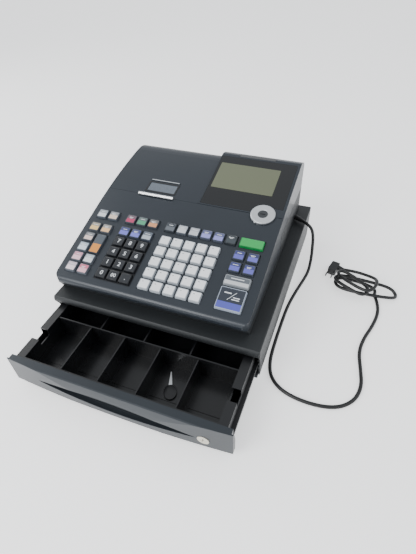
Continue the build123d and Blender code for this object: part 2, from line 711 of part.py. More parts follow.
def mode_ring():
    """Silver mode dial with its pointer tip."""
    tip = math.radians(246)
    dial = Circle(24)
    reach = (26.8 * math.cos(tip), 26.8 * math.sin(tip))
    left = (22.0 * math.cos(tip + 0.34), 22.0 * math.sin(tip + 0.34))
    right = (22.0 * math.cos(tip - 0.34), 22.0 * math.sin(tip - 0.34))
    dial += make_face(Polyline((0, 0), left, reach, right, close=True))
    ring = extrude(dial, amount=2.6, dir=(0, 0, 1))
    ring += Pos(0, 0, -6) * Cylinder(14.0, 14)
    ring -= Cylinder(10.0, 60)
    return on_plane(DISPLAY, MODE_X, MODE_V, 0.5) * ring


def mode_key_plug():
    """Dark key plug pressed in the dial."""
    plug = Pos(0, 0, -5) * Cylinder(9.9, 15)
    plug -= Pos(0, 0, 2.5) * Box(10, 2, 4)
    return on_plane(DISPLAY, MODE_X, MODE_V, 0.5) * plug


CUSTOMER_X = (43.0, 122.5)
CUSTOMER_Y = (REAR - 58, REAR - 48)


def customer_display():
    """Pop-up customer display, stowed flush in its slot."""
    slope = math.tan(math.radians(DISPLAY_TILT))
    top = DISPLAY_Z + (CUSTOMER_Y[0] - DISPLAY_Y) * slope
    unit = block(CUSTOMER_X, CUSTOMER_Y, (top - 50, top))
    unit += block((CUSTOMER_X[0] + 10, CUSTOMER_X[1] - 10), (CUSTOMER_Y[0] - 3, CUSTOMER_Y[1] + 3), (top - 54, top - 50))
    return unit


# ---------------------------------------------------------------- power cord


def gland_tip():
    """Where the cord leaves its strain relief, which leans towards the front."""
    lean = math.radians(GLAND_TURN)
    x = BODY_X[1] + 3 + GLAND_L * math.cos(lean)
    return (x, CORD_EXIT[0] - GLAND_L * math.sin(lean), CORD_EXIT[1])


def cord_points():
    """Centre line of the cord, out over the cabinet's edge and round on the floor."""
    x, y, z = gland_tip()
    lean = math.radians(GLAND_TURN)
    side = SIDE_X
    drop = [(x, y, z), (x + 14 * math.cos(lean), y - 14 * math.sin(lean), z), (side + 19, 361, z - 9),
            (side + 24, 358.5, z - 28), (side + 26, 358, 48), (side + 28, 353, 24), (side + 29, 338, 7),
            (side + 29, 315, CORD_Z)]
    floor = [(side + 24, 284), (side + 16, 245), (side + 9, 198), (side + 7.5, 145), (side + 7.2, 90),
             (side + 9, 47), (side + 20, 15), (side + 48, -6), (side + 92, -13), (side + 136, -7),
             (side + 164, 16), (side + 174, 50), (side + 168, 88), (side + 161, 124), (side + 166, 160),
             (side + 180, 200), (side + 188, 241), (side + 182, 276)]
    points = [(px, NOSE_Y + py, pz) for px, py, pz in drop]
    return points + [(px, NOSE_Y + py, CORD_Z) for px, py in floor]


def cord_radii(points):
    """Bend radius at each inner point, from the shorter run and the turn."""
    radii = []
    for before, here, after in zip(points, points[1:], points[2:]):
        first = Vector(*here) - Vector(*before)
        second = Vector(*after) - Vector(*here)
        turn = math.radians(first.get_angle(second))
        radii.append(0.45 * min(first.length, second.length) / math.tan(turn / 2))
    return radii


def power_cord():
    """Round mains cord from the strain relief to the hank."""
    points = cord_points()
    radii = cord_radii(points)
    print("cord bend radii", [round(r) for r in radii])
    path = FilletPolyline(*points, radius=radii)
    print("cord length", round(path.length))
    section = Plane(origin=path @ 0, z_dir=path % 0) * Circle(CORD_R)
    return sweep(section, path=path)


def strain_relief():
    """Tapered rubber sleeve through the housing's right wall, leaning to the front."""
    y, z = CORD_EXIT
    out = BODY_X[1]
    sleeve = rod("X", (out - WALL - 2.5, y, z), WALL + 6, SLEEVE_R)
    sleeve += rod("X", (out - WALL - 3.0, y, z), 2.4, SLEEVE_R + 1.2)
    cone = Pos(0, 0, GLAND_L / 2) * Cone(SLEEVE_R + 1.0, CORD_R + 0.6, GLAND_L)
    sleeve += Pos(out + 3, NOSE_Y + y, z) * Rot(0, 0, -GLAND_TURN) * Rot(0, 90, 0) * cone
    return sleeve


def cord_hank():
    """The loose bundle of spare cord, as its outer shape."""
    outline = [(87, 308), (88, 290), (97, 279), (143, 261), (158, 262), (182, 273), (210, 280),
               (222, 291), (221, 301), (189, 318), (172, 335), (144, 350), (101, 350), (101, 341)]
    points = [(SIDE_X + px, NOSE_Y + py) for px, py in outline]
    face = make_face(Polyline(*points, close=True))
    hank = Pos(0, 0, 0.2) * extrude(face, amount=HANK_H, dir=(0, 0, 1))
    return fillet(hank.edges().group_by(Axis.Z)[-1], 3)


PLUG_SIZE = (18.0, 30.0, 16.0)
BLADE_GAP = 12.7
BLADE = (1.5, 17.0, 6.3)


def power_plug():
    """Flat angled mains plug lying by the hank: the cord joins its side, blades leave its end."""
    width, length, height = PLUG_SIZE
    plug = fillet(Box(width, length, height).edges().filter_by(Axis.Z), 3)
    plug += Pos(width / 2 + 5, 7, 0) * Rot(0, 90, 0) * Cone(6.0, CORD_R + 0.8, 10)
    for x in (-BLADE_GAP / 2, BLADE_GAP / 2):
        plug += Pos(x, -(length + BLADE[1]) / 2 + 0.5, 0) * Box(*BLADE)
    return Pos(SIDE_X + 82, NOSE_Y + 343, height / 2 + 0.2) * Rot(0, 0, -14) * plug


# ---------------------------------------------------------------- output


def save(name, shape):
    """Write one node."""
    export_step(shape, "parts/" + name + ".step")


def main():
    """Build and write every node."""
    os.makedirs("parts", exist_ok=True)
    for piece in (case_cover, case_base, rubber_feet, drawer_rails, release_solenoid, latch_lever,
                  kick_out_spring, drawer_pan, drawer_fascia, drawer_lock_body, drawer_lock_plug,
                  till_tray, till_dividers, lower_housing, housing_screws, keyboard_panel,
                  contact_mat, keyboard_board, main_board, power_transformer, printer_cover,
                  printer_window, cutter_bar, printer_frame, platen_roller, paper_roll,
                  display_housing, display_lens, display_panel, mode_ring, mode_key_plug,
                  customer_display, power_cord, strain_relief, cord_hank, power_plug):
        save(piece.__name__, piece())
    for name, spots in key_groups().items():
        save(name, keys(spots))


main()
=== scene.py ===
import math

import bpy
import bmesh
from mathutils import Matrix, Vector


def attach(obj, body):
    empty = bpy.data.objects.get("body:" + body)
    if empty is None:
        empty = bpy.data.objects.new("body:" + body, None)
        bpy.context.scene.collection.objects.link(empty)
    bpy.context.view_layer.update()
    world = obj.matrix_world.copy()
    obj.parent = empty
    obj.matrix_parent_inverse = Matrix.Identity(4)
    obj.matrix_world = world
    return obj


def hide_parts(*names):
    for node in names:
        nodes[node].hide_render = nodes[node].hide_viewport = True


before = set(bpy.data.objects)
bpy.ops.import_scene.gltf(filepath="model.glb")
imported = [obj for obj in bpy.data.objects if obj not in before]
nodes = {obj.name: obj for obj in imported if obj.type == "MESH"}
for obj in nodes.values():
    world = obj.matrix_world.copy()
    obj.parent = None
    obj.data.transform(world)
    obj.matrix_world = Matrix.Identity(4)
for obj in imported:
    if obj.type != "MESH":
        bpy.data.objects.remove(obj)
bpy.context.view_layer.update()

# ---------------------------------------------------------------- camera, lights and floor
# A plain white table lit a little from below, a large soft window to the front and left, two
# weak fills, and a high camera at the operator's right hand.
PITCH_DOWN = math.radians(43.04)
YAW = math.radians(22.72)
ROLL = math.radians(2.74)
CAMERA_PLACE = (0.28785, -0.55455, 0.64365)
LENS_MM = 26.63
REGISTER_MIDDLE = (0.0, 0.0, 0.1)
CABINET_SIDE = (0.1, 0.0, 0.0)
SKY_COLOUR = (0.93, 0.96, 1.0, 1.0)
SKY_STRENGTH = 0.95
TABLE_SIZE = 8.0
TABLE_Z = -0.0004
TABLE_COLOUR = (0.93, 0.93, 0.93, 1)
TABLE_GLOW = 0.8
camera_data = bpy.data.cameras.new("camera")
camera_data.lens = LENS_MM
camera_data.clip_start = 0.05
camera = bpy.data.objects.new("camera", camera_data)
bpy.context.collection.objects.link(camera)
aim = Matrix.Rotation(YAW, 4, "Z") @ Matrix.Rotation(math.pi / 2 - PITCH_DOWN, 4, "X")
aim = aim @ Matrix.Rotation(-ROLL, 4, "Z")
camera.matrix_world = Matrix.Translation(CAMERA_PLACE) @ aim
bpy.context.scene.camera = camera


def soft_light(name, place, target, size, power):
    """A square area light aimed at a point."""
    data = bpy.data.lights.new(name, "AREA")
    data.shape = "SQUARE"
    data.size = size
    data.energy = power
    light = bpy.data.objects.new(name, data)
    bpy.context.collection.objects.link(light)
    way = Vector(target) - Vector(place)
    turn = way.to_track_quat("-Z", "Y").to_matrix().to_4x4()
    light.matrix_world = Matrix.Translation(place) @ turn


soft_light("window_left", (-0.95, -1.75, 1.6), REGISTER_MIDDLE, size=1.3, power=46.0)
soft_light("left_fill", (-1.7, 0.3, 1.0), REGISTER_MIDDLE, size=1.2, power=10.0)
soft_light("right_fill", (1.7, 0.1, 1.3), CABINET_SIDE, size=1.2, power=4.0)

world = bpy.data.worlds.new("studio")
world.use_nodes = True
sky = world.node_tree.nodes["Background"].inputs
sky["Color"].default_value = SKY_COLOUR
sky["Strength"].default_value = SKY_STRENGTH
bpy.context.scene.world = world


def deselect():
    """Nothing is selected or being edited."""
    if bpy.context.mode != "OBJECT":
        bpy.ops.object.mode_set(mode="OBJECT")
    bpy.ops.object.select_all(action="DESELECT")


deselect()
bpy.ops.mesh.primitive_plane_add(size=TABLE_SIZE, location=(0, 0, TABLE_Z))
floor = bpy.context.object
floor.name = "table_top"
floor_paint = bpy.data.materials.new("table_paint")
floor_paint.use_nodes = True
table = floor_paint.node_tree.nodes["Principled BSDF"].inputs
table["Base Color"].default_value = TABLE_COLOUR
table["Roughness"].default_value = 0.85
table["Emission Color"].default_value = (1, 1, 1, 1)
table["Emission Strength"].default_value = TABLE_GLOW
floor.data.materials.append(floor_paint)


# ---------------------------------------------------------------- mains cord
# Black twin-core mains lead: it leaves the strain relief, drops over the cabinet's edge,
# runs round on the table and ends in a loose hank with the plug lying beside it.
MOTTLE_SCALE = 9.0
GLOSS_SWING = 0.06
GRAIN_DEPTH = 0.0002


def finish(name, colour, roughness, grain=900.0, bump=0.05, metallic=0.0, spread=0.12, coat=0.0):
    """A moulded or painted surface: fine grain in its colour, roughness and bump."""
    made = bpy.data.materials.new(name)
    made.use_nodes = True
    tree = made.node_tree
    shader = tree.nodes["Principled BSDF"]
    shader.inputs["Metallic"].default_value = metallic
    shader.inputs["Coat Weight"].default_value = coat
    shader.inputs["Coat Roughness"].default_value = 0.08
    place = tree.nodes.new("ShaderNodeTexCoord")
    fine = tree.nodes.new("ShaderNodeTexNoise")
    fine.inputs["Scale"].default_value = grain
    fine.inputs["Detail"].default_value = 2.0
    broad = tree.nodes.new("ShaderNodeTexNoise")
    broad.inputs["Scale"].default_value = MOTTLE_SCALE
    broad.inputs["Detail"].default_value = 3.0
    for noise in (fine, broad):
        tree.links.new(place.outputs["Object"], noise.inputs["Vector"])
    ramp = tree.nodes.new("ShaderNodeValToRGB")
    ramp.color_ramp.elements[0].position = 0.3
    ramp.color_ramp.elements[1].position = 0.7
    ramp.color_ramp.elements[0].color = [c * (1 - spread) for c in colour] + [1]
    ramp.color_ramp.elements[1].color = [min(1, c * (1 + spread)) for c in colour] + [1]
    blend = tree.nodes.new("ShaderNodeMix")
    blend.data_type = "FLOAT"
    blend.inputs["Factor"].default_value = 0.5
    tree.links.new(fine.outputs["Fac"], blend.inputs[2])
    tree.links.new(broad.outputs["Fac"], blend.inputs[3])
    tree.links.new(blend.outputs[0], ramp.inputs["Fac"])
    tree.links.new(ramp.outputs["Color"], shader.inputs["Base Color"])
    rough = tree.nodes.new("ShaderNodeMapRange")
    rough.inputs["To Min"].default_value = max(0.03, roughness - GLOSS_SWING)
    rough.inputs["To Max"].default_value = min(1.0, roughness + GLOSS_SWING)
    tree.links.new(broad.outputs["Fac"], rough.inputs["Value"])
    tree.links.new(rough.outputs["Result"], shader.inputs["Roughness"])
    relief = tree.nodes.new("ShaderNodeBump")
    relief.inputs["Strength"].default_value = bump
    relief.inputs["Distance"].default_value = GRAIN_DEPTH
    tree.links.new(fine.outputs["Fac"], relief.inputs["Height"])
    tree.links.new(relief.outputs["Normal"], shader.inputs["Normal"])
    return made


def linear(code):
    """A display colour such as 3a4048 as linear red, green and blue."""
    parts = [int(code[i:i + 2], 16) / 255 for i in (0, 2, 4)]
    return [c / 12.92 if c <= 0.04045 else ((c + 0.055) / 1.055) ** 2.4 for c in parts]


CORD_R = 0.0035
CORD_Z = 0.0037
route = [
    (0.19919, 0.2235, 0.0994), (0.21131, 0.2165, 0.0994), (0.224, 0.211, 0.0904),
    (0.229, 0.2085, 0.0714), (0.231, 0.208, 0.048), (0.233, 0.203, 0.024), (0.234, 0.188, 0.007),
    (0.234, 0.165, CORD_Z), (0.229, 0.134, CORD_Z), (0.221, 0.095, CORD_Z), (0.214, 0.048, CORD_Z),
    (0.2125, -0.005, CORD_Z), (0.2122, -0.060, CORD_Z), (0.214, -0.103, CORD_Z),
    (0.225, -0.135, CORD_Z), (0.253, -0.156, CORD_Z), (0.297, -0.163, CORD_Z),
    (0.341, -0.157, CORD_Z), (0.369, -0.134, CORD_Z), (0.379, -0.100, CORD_Z),
    (0.373, -0.062, CORD_Z), (0.366, -0.026, CORD_Z), (0.371, 0.010, CORD_Z),
    (0.385, 0.050, CORD_Z), (0.393, 0.091, CORD_Z), (0.387, 0.124, CORD_Z),
]
# Each turn of the hank: middle, half its straight run, end radius, tilt, height, and how far
# its right-hand end droops to the table. Every turn eases into the one after it.
turns = [
    ((0.337, 0.149), 0.026, 0.0195, -8.0, CORD_Z, 0.0),
    ((0.362, 0.148), 0.042, 0.0210, 3.0, 0.0122, 0.0083),
    ((0.329, 0.142), 0.023, 0.0170, -30.0, 0.0197, 0.0),
    ((0.340, 0.152), 0.024, 0.0180, -32.0, 0.0262, 0.0),
]
STEPS = 16
START = -12.0
SQUARENESS = 2.2
DROOP_POWER = 3


def eased(first, second, part):
    """Part of the way from one value to another, slow at both ends."""
    return first + (second - first) * part * part * (3 - 2 * part)


for turn, following in zip(turns, turns[1:]):
    for step in range(STEPS):
        part = step / STEPS
        spin = math.radians(START + 360 * part)
        run, radius, tilt, height, droop = (eased(turn[i], following[i], part) for i in range(1, 6))
        middle_x = eased(turn[0][0], following[0][0], part)
        middle_y = eased(turn[0][1], following[0][1], part)
        x = radius * math.cos(spin) + run * math.tanh(SQUARENESS * math.cos(spin))
        y = radius * math.sin(spin)
        lean = math.radians(tilt)
        route.append((middle_x + x * math.cos(lean) - y * math.sin(lean),
                      middle_y + x * math.sin(lean) + y * math.cos(lean),
                      height - droop * max(0.0, math.cos(spin)) ** DROOP_POWER))
# The last stretch lies over the top of the hank and runs into the plug's side.
route += [(0.3745, 0.132, 0.0275), (0.3795, 0.145, 0.0275), (0.381, 0.158, 0.0255),
          (0.378, 0.170, 0.0215), (0.371, 0.179, 0.017), (0.359, 0.188, 0.012),
          (0.344, 0.1945, 0.009), (0.326, 0.1965, 0.0082), (0.3068, 0.1953, 0.0082)]

cord_curve = bpy.data.curves.new("mains_cord", "CURVE")
cord_curve.dimensions = "3D"
cord_curve.bevel_depth = CORD_R
cord_curve.bevel_resolution = 4
cord_curve.resolution_u = 8
line = cord_curve.splines.new("NURBS")
line.points.add(len(route) - 1)
for point, place in zip(line.points, route):
    point.co = (*place, 1.0)
line.order_u = 3
line.use_endpoint_u = True
mains_cord = bpy.data.objects.new("mains_cord", cord_curve)
bpy.context.collection.objects.link(mains_cord)
mains_cord.data.materials.append(finish("cord_pvc", linear("141516"), 0.42, 700, 0.04))
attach(mains_cord, "register_body")
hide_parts("power_cord", "cord_hank")

plug_rubber = finish("plug_rubber", linear("17181a"), 0.5, 900, 0.08)
for name in ("power_plug", "strain_relief"):
    nodes[name].data.materials.clear()
    nodes[name].data.materials.append(plug_rubber)

# ---------------------------------------------------------------- keycaps
# Each keycap is a clear two-part button: a moulded skirt with a softened rim, and a printed
# card under the flat top. The sizes repeat the keyboard's pitch and the panel's slope.
NOSE_Y = -0.150
PANEL_Z = 0.121
PANEL_TILT = math.radians(15.68)
PITCH = 0.0249
BOTTOM_ROW = 0.0453
TOP_ROW = 5.32
NUMERIC_SHIFT = 0.0013
KEY_GAP = 0.0030
CAP_RISE = 0.0046
CAP_FOOT = -0.0028
TAPER_X = 0.0020
TAPER_Y = 0.0026
CORNER = 0.0020
RIM_EDGE = 0.0005
RIM_WIDTH = 0.0006
CARD_STEP = 0.0002
CARD_SINK = 0.00015
MIN_TOP_AREA = 2e-5
LEFT_COLS = (-7.2, -6.16)
NUMERIC_COLS = (-4.56, -3.56, -2.56)
DEPARTMENT_COLS = (-1.0, 0.0, 1.0, 2.0, 3.0)
RIGHT_COLS = (4.92, 5.98)
panel_frame = Matrix.Translation((0, NOSE_Y, PANEL_Z)) @ Matrix.Rotation(PANEL_TILT, 4, "X")


def pick_faces(shape, wanted):
    """In edit mode, only the faces that pass the test are selected."""
    bpy.ops.mesh.select_all(action="DESELECT")
    bpy.ops.mesh.select_mode(type="FACE")
    edit = bmesh.from_edit_mesh(shape.data)
    for face in edit.faces:
        face.select_set(wanted(face))
    bmesh.update_edit_mesh(shape.data)


def pick_edges(shape, wanted):
    """In edit mode, only the edges that pass the test are selected."""
    bpy.ops.mesh.select_all(action="DESELECT")
    bpy.ops.mesh.select_mode(type="EDGE")
    edit = bmesh.from_edit_mesh(shape.data)
    for edge in edit.edges:
        edge.select_set(wanted(edge))
    bmesh.update_edit_mesh(shape.data)


def model_cap(width, depth, split):
    """One keycap at the origin, its card parted where the two printed colours meet."""
    deselect()
    bpy.ops.mesh.primitive_cube_add(size=1, location=(0, 0, (CAP_RISE + CAP_FOOT) / 2),
                                    scale=(width, depth, CAP_RISE - CAP_FOOT))
    cap = bpy.context.object
    bpy.ops.object.transform_apply(location=True, rotation=True, scale=True)
    bpy.ops.object.mode_set(mode="EDIT")
    pick_faces(cap, lambda f: f.normal.z > 0.9)
    bpy.ops.transform.resize(value=((width - TAPER_X) / width, (depth - TAPER_Y) / depth, 1),
                             center_override=(0, 0.0003, CAP_RISE))
    pick_edges(cap, lambda e: abs(e.verts[0].co.z - e.verts[1].co.z) > 0.002)
    bpy.ops.mesh.bevel(offset=CORNER, segments=4)
    pick_edges(cap, lambda e: all(v.co.z > CAP_RISE - 1e-5 for v in e.verts))
    bpy.ops.mesh.bevel(offset=RIM_EDGE, segments=2)
    pick_faces(cap, lambda f: f.normal.z > 0.999 and f.calc_area() > MIN_TOP_AREA)
    bpy.ops.mesh.inset(thickness=RIM_WIDTH, depth=0.0)
    bpy.ops.mesh.inset(thickness=CARD_STEP, depth=-CARD_SINK)
    edit = bmesh.from_edit_mesh(cap.data)
    for face in edit.faces:
        face.material_index = 1 if face.select else 0
    if split is not None:
        cut_y = depth * (0.5 - split)
        card = [f for f in edit.faces if f.select]
        lines = {e for f in card for e in f.edges}
        points = {v for f in card for v in f.verts}
        bmesh.ops.bisect_plane(edit, geom=card + list(lines) + list(points),
                               plane_co=(0, cut_y, 0), plane_no=(0, 1, 0))
        for face in edit.faces:
            if face.material_index == 1 and face.calc_center_median().y < cut_y:
                face.material_index = 2
    bmesh.update_edit_mesh(cap.data)
    bpy.ops.object.mode_set(mode="OBJECT")
    bpy.ops.object.shade_smooth_by_angle(angle=math.radians(30))
    return cap


cap_moulds = {}
cap_colours = {}


def cap_finish(code):
    """The gloss of a printed card seen through its clear cap."""
    if code not in cap_colours:
        cap_colours[code] = finish("cap_" + code, linear(code), 0.30, 1500, 0.02,
                                   spread=0.05, coat=0.15)
    return cap_colours[code]


def place_key(name, node, u, v, width, depth, rim, top, foot=None, split=None):
    """Copy a mould onto the panel, in place of its CAD keycap."""
    key = (round(width, 5), round(depth, 5), split)
    if key not in cap_moulds:
        cap_moulds[key] = model_cap(width, depth, split)
        cap_moulds[key].hide_render = True
    mesh = cap_moulds[key].data.copy()
    mesh.transform(panel_frame @ Matrix.Translation((u, v, 0)))
    piece = bpy.data.objects.new(name, mesh)
    bpy.context.collection.objects.link(piece)
    for code in (rim, top, foot or top):
        mesh.materials.append(cap_finish(code))
    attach(piece, node)
    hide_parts(node)


def key_at(col, row, shift=0.0):
    """Across and up-slope place of a key, counted in pitches."""
    return col * PITCH, BOTTOM_ROW + shift + row * PITCH


SINGLE = PITCH - KEY_GAP
numbers = (("zero", "0"), ("double_zero", "00"), ("point", "."), ("one", "1"), ("two", "2"),
           ("three", "3"), ("four", "4"), ("five", "5"), ("six", "6"), ("seven", "7"),
           ("eight", "8"), ("nine", "9"))
for index, (word, digits) in enumerate(numbers):
    u, v = key_at(NUMERIC_COLS[index % 3], index // 3, NUMERIC_SHIFT)
    node = "numeric_key_" + word
    place_key("number_cap_" + word, node, u, v, SINGLE, SINGLE, "17191d", "1d2025")
for row in range(5):
    for count, col in enumerate(DEPARTMENT_COLS):
        u, v = key_at(col, row)
        place_key(f"department_cap_{5 - row}_{count + 1}", f"department_keys_row_{5 - row}", u, v,
                  SINGLE, SINGLE, "a4aab0", "eef0f2")
L, R = LEFT_COLS
N1, N2, N3 = NUMERIC_COLS
P1, P2 = RIGHT_COLS
ROW_B, ROW_C, ROW_D, ROW_E = 0.95, 1.9, 2.9, 3.94
CLERK_ROW = 4.06
PAIR_HIGH, PAIR_LOW = 4.1, 3.06
# Each coloured key: column, row, rim, upper print, lower print.
coloured = {
    "function_keys_left": (
        (L, TOP_ROW, "4c525a", "9aa1a6", "d2d7da"), (R, TOP_ROW, "4c525a", "8b8d90", "dcc7b5"),
        (L, ROW_E, "4d5158", "98917f", "e4c27e"), (R, ROW_E, "4d5158", "95908a", "e6b986"),
        (L, ROW_D, "454a52", "77787c", "dfc8c0"), (L, ROW_C, "59616a", "a6b6c2", "cfdbe4")),
    "function_keys_low_left": (
        (L, ROW_B, "5a5f67", "c98fa2", "eac0cb"), (R, ROW_B, "5a5f67", "aab7c0", "d9dfe3"),
        (L, 0.0, "5a5f67", "c4b7c0", "e9dbe0"), (R, 0.0, "5a5f67", "c86d85", "e8b4c0")),
    "clerk_keys": (
        (N1, CLERK_ROW, "3c424c", "3f4678", "6d70c8"), (N2, CLERK_ROW, "3c424c", "3f4678", "6f73ca"),
        (N3, CLERK_ROW, "3c424c", "5d6671", "aab2ba"), (N1, TOP_ROW, "3b4047", "6a5560", "b23a62"),
        (N2, TOP_ROW, "3b4047", "5a6a68", "4a9c74"), (N3, TOP_ROW, "3b4047", "6d6a68", "cf9266")),
    "function_keys_right": (
        (P1, PAIR_HIGH, "3d434d", "3a3f74", "5f60b8"), (P2, PAIR_HIGH, "3d434d", "363b62", "6566bd"),
        (P1, PAIR_LOW, "3d434d", "3a3f74", "6264bf"), (P2, PAIR_LOW, "3d434d", "3a3f74", "5f60b8")),
    "function_keys_top": (
        (-1.06, TOP_ROW, "31363c", "3d434a", "5f656c"), (-0.06, TOP_ROW, "4a5058", "b3b7bc", "c6c9cd"),
        (0.94, TOP_ROW, "4a5058", "abb0b6", "c2c6ca"), (1.94, TOP_ROW, "454b58", "565b82", "8f91d2"),
        (2.94, TOP_ROW, "454b58", "565b82", "8b8dd0"), (3.94, TOP_ROW, "2a2f34", "30363b", "3b4247")),
}
CARD_SPLIT = 0.46
for node, caps in coloured.items():
    for count, (col, row, rim, top, foot) in enumerate(caps):
        u, v = key_at(col, row)
        place_key(f"{node}_cap_{count + 1}", node, u, v, SINGLE, SINGLE, rim, top, foot, CARD_SPLIT)
# The larger keys: a tall orange one, a long green one, and the subtotal and cash keys, which
# span both right-hand columns.
DOUBLE = SINGLE + PITCH
WIDE = SINGLE + PITCH * (P2 - P1)
CASH_DEPTH = SINGLE + PITCH * 0.93
u, v = key_at(R, 2.4)
place_key("function_keys_left_cap_7", "function_keys_left", u, v, SINGLE, DOUBLE,
          "3a4048", "4b525a", "d68b38", 0.52)
u, v = key_at(5.53, TOP_ROW)
place_key("function_keys_top_cap_7", "function_keys_top", u, v, DOUBLE, SINGLE, "14783a", "1fa650")
subtotal_u, subtotal_v = key_at((P1 + P2) / 2, 1.93)
place_key("subtotal_cap", "subtotal_key", subtotal_u, subtotal_v, WIDE, SINGLE,
          "8d9296", "5d6369", "c3c6c9", 0.55)
cash_u, cash_v = key_at((P1 + P2) / 2, 0.465)
place_key("cash_cap", "cash_key", cash_u, cash_v, WIDE, CASH_DEPTH,
          "9aa4b2", "2a303a", "5055ad", 0.66)
for mould in cap_moulds.values():
    bpy.data.objects.remove(mould)

# ---------------------------------------------------------------- printed marks on the keys
# Plain bars of ink on the cards under the clear caps, white on the coloured keys and grey on
# the white ones. They stand for the legends and say nothing.
ink_white = finish("ink_white", linear("dfe3e6"), 0.5, 1200, 0.02, spread=0.03)
ink_grey = finish("ink_grey", linear("7c8186"), 0.5, 1200, 0.02, spread=0.03)
INK_H = 0.00008
INK_Z = CAP_RISE - 0.00012
LEGEND_UP, LEGEND_H, LEGEND_LENGTH = 0.0042, 0.0011, 0.0085
SECOND_UP, SECOND_H, SECOND_LENGTH = 0.0021, 0.0009, 0.0062
NUMERAL_LEFT, NUMERAL_UP, NUMERAL_H = 0.0036, 0.0046, 0.0012


def print_bars(name, node, ink, bars):
    """Flat bars on a node's caps: each has a middle (u, v), a length, a height and a slant."""
    deselect()
    bpy.ops.mesh.primitive_cube_add(size=1)
    piece = bpy.context.object
    piece.name = name
    bpy.ops.object.mode_set(mode="EDIT")
    bpy.ops.mesh.delete(type="VERT")
    for u, v, length, height, slant in bars:
        bpy.ops.mesh.primitive_cube_add(size=1, location=(0, 0, 0))
        bpy.ops.transform.resize(value=(length, height, INK_H), center_override=(0, 0, 0))
        bpy.ops.transform.rotate(value=slant, orient_axis="Z", center_override=(0, 0, 0))
        bpy.ops.transform.translate(value=(u, v, INK_Z))
        bpy.ops.mesh.select_all(action="DESELECT")
    bpy.ops.object.mode_set(mode="OBJECT")
    piece.data.transform(panel_frame)
    piece.data.materials.append(ink)
    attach(piece, node)


for node, caps in coloured.items():
    bars = []
    for count, (col, row, rim, top, foot) in enumerate(caps):
        u, v = key_at(col, row)
        length = LEGEND_LENGTH + 0.001 * (count % 3)
        bars.append((u - 0.001 * (count % 2), v + LEGEND_UP, length, LEGEND_H, 0.0))
        if count % 2:
            bars.append((u - 0.0012, v + SECOND_UP, SECOND_LENGTH, SECOND_H, 0.0))
    print_bars("ink_" + node, node, ink_white, bars)
for row in range(5):
    bars = []
    for count, col in enumerate(DEPARTMENT_COLS):
        u, v = key_at(col, row)
        length = 0.0024 + 0.0006 * ((row + count) % 3)
        bars.append((u - NUMERAL_LEFT, v + NUMERAL_UP, length, NUMERAL_H, 0.0))
    node = f"department_keys_row_{5 - row}"
    print_bars("ink_" + node, node, ink_grey, bars)
print_bars("ink_subtotal_key", "subtotal_key", ink_white,
           [(subtotal_u, subtotal_v + 0.004, 0.024, 0.0016, 0.0)])
u, v = cash_u, cash_v
print_bars("ink_cash_key", "cash_key", ink_white,
           [(u - 0.008, v + 0.0105, 0.0130, 0.0022, 0.0),
            (u + 0.0005, v + 0.0055, 0.021, 0.0009, -0.9),
            (u + 0.009, v + 0.0035, 0.0120, 0.0018, 0.0),
            (u + 0.008, v - 0.0005, 0.0140, 0.0018, 0.0)])

# ---------------------------------------------------------------- digits on the number keys
# White moulded-in figures on the dark number keys, standing just proud of the card.
figure_white = finish("figure_white", linear("e9edf0"), 0.45, 1200, 0.02, spread=0.03)
FIGURE_SIZE = 0.0125
PAIR_SIZE = 0.0105
FIGURE_UP = 0.0003
for index, (word, digits) in enumerate(numbers):
    u, v = key_at(NUMERIC_COLS[index % 3], index // 3, NUMERIC_SHIFT)
    curve = bpy.data.curves.new("figure_" + word, "FONT")
    curve.body = digits
    curve.size = FIGURE_SIZE if len(digits) == 1 else PAIR_SIZE
    curve.align_x = "CENTER"
    curve.align_y = "CENTER"
    curve.extrude = 0.00006
    drawn = bpy.data.objects.new("drawn_" + word, curve)
    bpy.context.collection.objects.link(drawn)
    bpy.context.view_layer.update()
    settled = drawn.evaluated_get(bpy.context.evaluated_depsgraph_get())
    mesh = bpy.data.meshes.new_from_object(settled)
    bpy.data.objects.remove(drawn)
    low = min(c.co.y for c in mesh.vertices)
    high = max(c.co.y for c in mesh.vertices)
    rise = -(low + high) / 2 if digits != "." else 0.0
    mesh.transform(panel_frame @ Matrix.Translation((u, v + FIGURE_UP + rise, INK_Z)))
    figure = bpy.data.objects.new("figure_" + word, mesh)
    bpy.context.collection.objects.link(figure)
    mesh.materials.clear()
    mesh.materials.append(figure_white)
    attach(figure, "numeric_key_" + word)


# ---------------------------------------------------------------- register body shells
# Injection-moulded shells in a metallic blue-grey, satin, with a fine spark in the paint.
def dress(material, *names):
    """Give CAD nodes a finish."""
    for name in names:
        nodes[name].data.materials.clear()
        nodes[name].data.materials.append(material)


shell_paint = finish("shell_paint", linear("272d34"), 0.37, 1600, 0.06,
                     metallic=0.2, spread=0.10, coat=0.1)
dress(shell_paint, "keyboard_panel", "printer_cover", "display_housing")
dress(finish("lower_shell", linear("202326"), 0.55, 1300, 0.10, metallic=0.1), "lower_housing")
dress(finish("case_powder_coat", linear("212426"), 0.50, 1100, 0.12, metallic=0.1), "case_cover")
dress(finish("zinc_plate", linear("a9adb0"), 0.34, 500, 0.05, metallic=0.9), "case_base", "drawer_rails",
      "release_solenoid", "latch_lever", "kick_out_spring", "printer_frame", "housing_screws")
dress(finish("foot_rubber", linear("1b1b1c"), 0.8, 900, 0.15), "rubber_feet")

